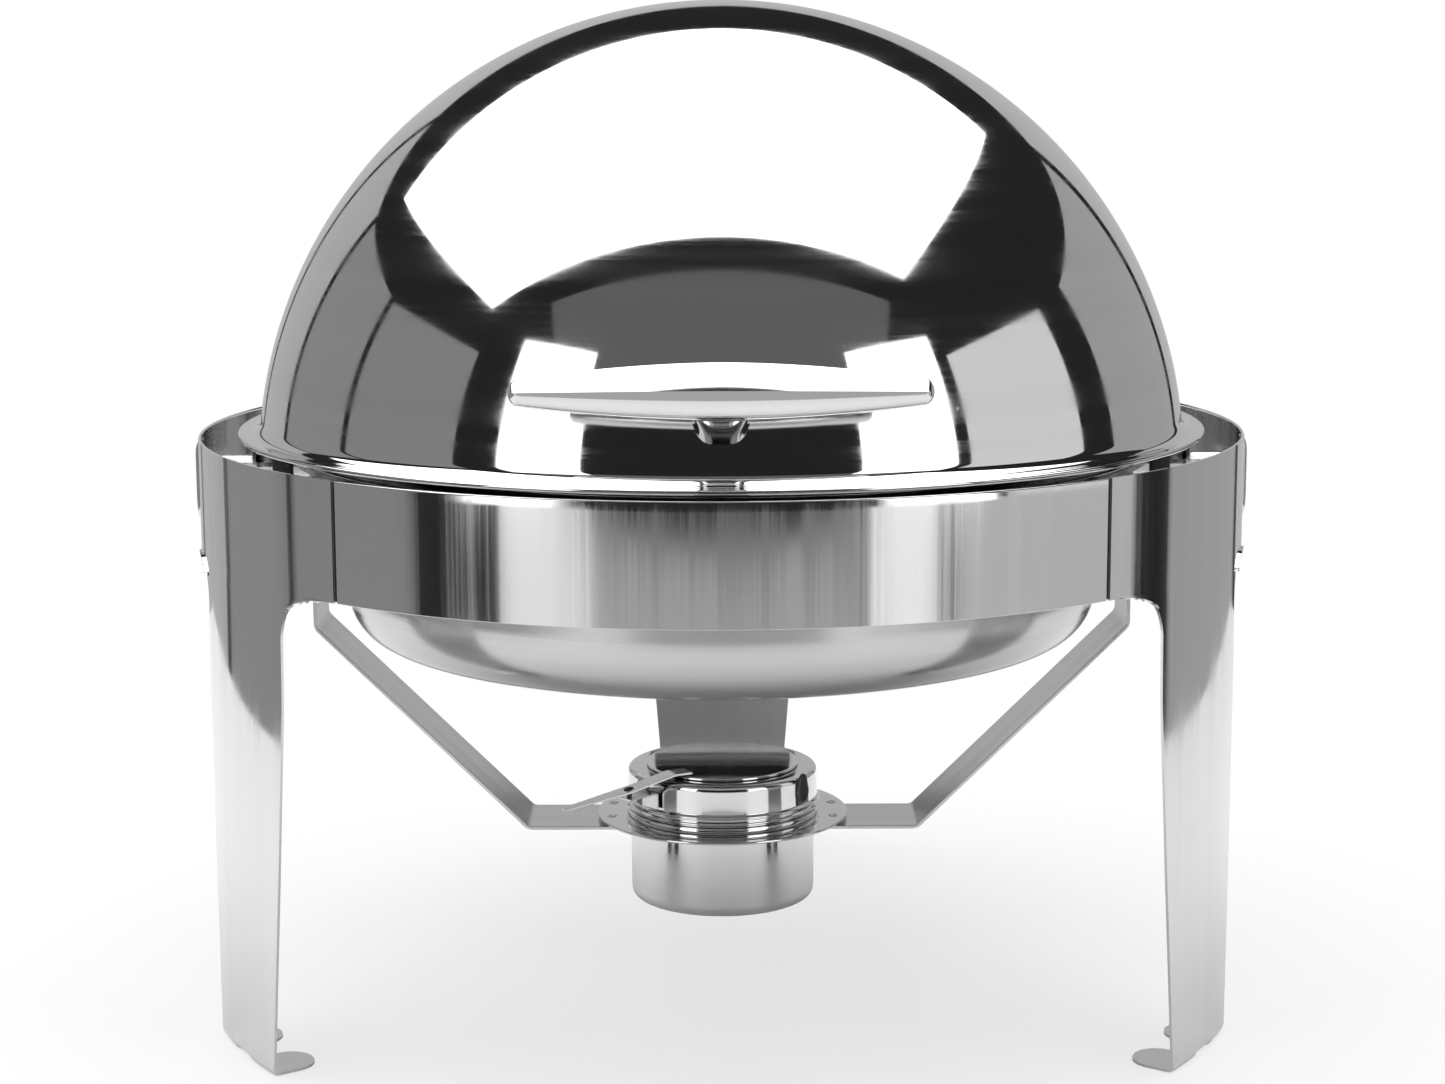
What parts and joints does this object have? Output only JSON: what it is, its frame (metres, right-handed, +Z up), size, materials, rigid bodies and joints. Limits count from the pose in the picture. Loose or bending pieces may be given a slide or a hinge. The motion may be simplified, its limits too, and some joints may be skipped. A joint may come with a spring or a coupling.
{
  "type": "roll top chafer",
  "caption": "Round steel roll top chafing dish: a domed lid that rolls back on side pivots, nested food and water pans, and a spirit burner under a legged ring stand.",
  "frame": {"origin": "centre of the ring stand's footprint on the table", "axes": "+Z up, -Y towards the side that the lid's handle is on, X along the lid's roll axis"},
  "size_m": [0.4886, 0.4828, 0.4574],
  "materials": {
    "mirror_steel": "mirror polished stainless steel",
    "satin_steel": "satin stainless steel",
    "fasteners": "bright zinc plated or stainless steel",
    "rubber": "matt black rubber"
  },
  "bodies": {
    "stand": {"front_band": "mirror_steel", "left_rear_band": "fasteners", "right_rear_band": "fasteners", "front_left_leg": "mirror_steel", "front_right_leg": "mirror_steel", "rear_leg": "fasteners", "splice_front_left_leg_a": "fasteners", "splice_front_left_leg_b": "fasteners", "splice_front_right_leg_a": "fasteners", "splice_front_right_leg_b": "fasteners", "splice_rear_leg_a": "fasteners", "splice_rear_leg_b": "fasteners", "pan_support_ring": "satin_steel", "support_bracket_left": "satin_steel", "support_bracket_front": "satin_steel", "support_bracket_right": "satin_steel", "lid_bumper_left": "rubber", "lid_bumper_right": "rubber", "pivot_pin_left": "fasteners", "inner_sleeve_left": "fasteners", "outer_sleeve_left": "fasteners", "pivot_nut_left": "fasteners", "hinge_plate_left": "mirror_steel", "burner_strap_left": "satin_steel", "pivot_pin_right": "fasteners", "inner_sleeve_right": "fasteners", "outer_sleeve_right": "fasteners", "pivot_nut_right": "fasteners", "hinge_plate_right": "mirror_steel", "burner_strap_right": "satin_steel", "burner_holder_ring": "satin_steel", "holder_rivet_left_front": "fasteners", "holder_rivet_left_rear": "fasteners", "holder_rivet_right_front": "fasteners", "holder_rivet_right_rear": "fasteners"},
    "lid": {"lid_shell": "mirror_steel", "lid_handle": "mirror_steel", "handle_screw_left": "fasteners", "handle_screw_right": "fasteners", "handle_washer_left": "fasteners", "handle_washer_right": "fasteners", "lid_ear_left": "fasteners", "lid_ear_right": "fasteners"},
    "water_pan": {"water_pan": "satin_steel"},
    "food_pan": {"food_pan": "satin_steel"},
    "fuel_cup": {"fuel_cup": "mirror_steel"},
    "burner_cover": {"burner_cover": "mirror_steel", "damper_bracket": "fasteners", "cover_keeper": "fasteners", "damper_rivet": "fasteners"},
    "damper": {"damper_disc": "mirror_steel", "damper_lever": "satin_steel"}
  },
  "joints": [
    {"name": "lid_roll", "type": "hinge", "parent": "stand", "child": "lid", "pos_m": [0, 0, 0.244], "axis": [-1, 0, 0], "range_deg": [0, 85]},
    {"name": "water_pan_lift", "type": "slide", "parent": "stand", "child": "water_pan", "axis": [0, 0, 1], "range_m": [0, 0.015]},
    {"name": "food_pan_lift", "type": "slide", "parent": "water_pan", "child": "food_pan", "axis": [0, 0, 1], "range_m": [0, 0.035]},
    {"name": "fuel_cup_lift", "type": "slide", "parent": "stand", "child": "fuel_cup", "axis": [0, 0, 1], "range_m": [0, 0.03]},
    {"name": "burner_cover_lift", "type": "slide", "parent": "fuel_cup", "child": "burner_cover", "axis": [0, 0, 1], "range_m": [0, 0.015]},
    {"name": "damper_swing", "type": "hinge", "parent": "burner_cover", "child": "damper", "pos_m": [-0.043, -0.0415, 0.0946], "axis": [0, 0, -1], "range_deg": [0, 75]}
  ]
}
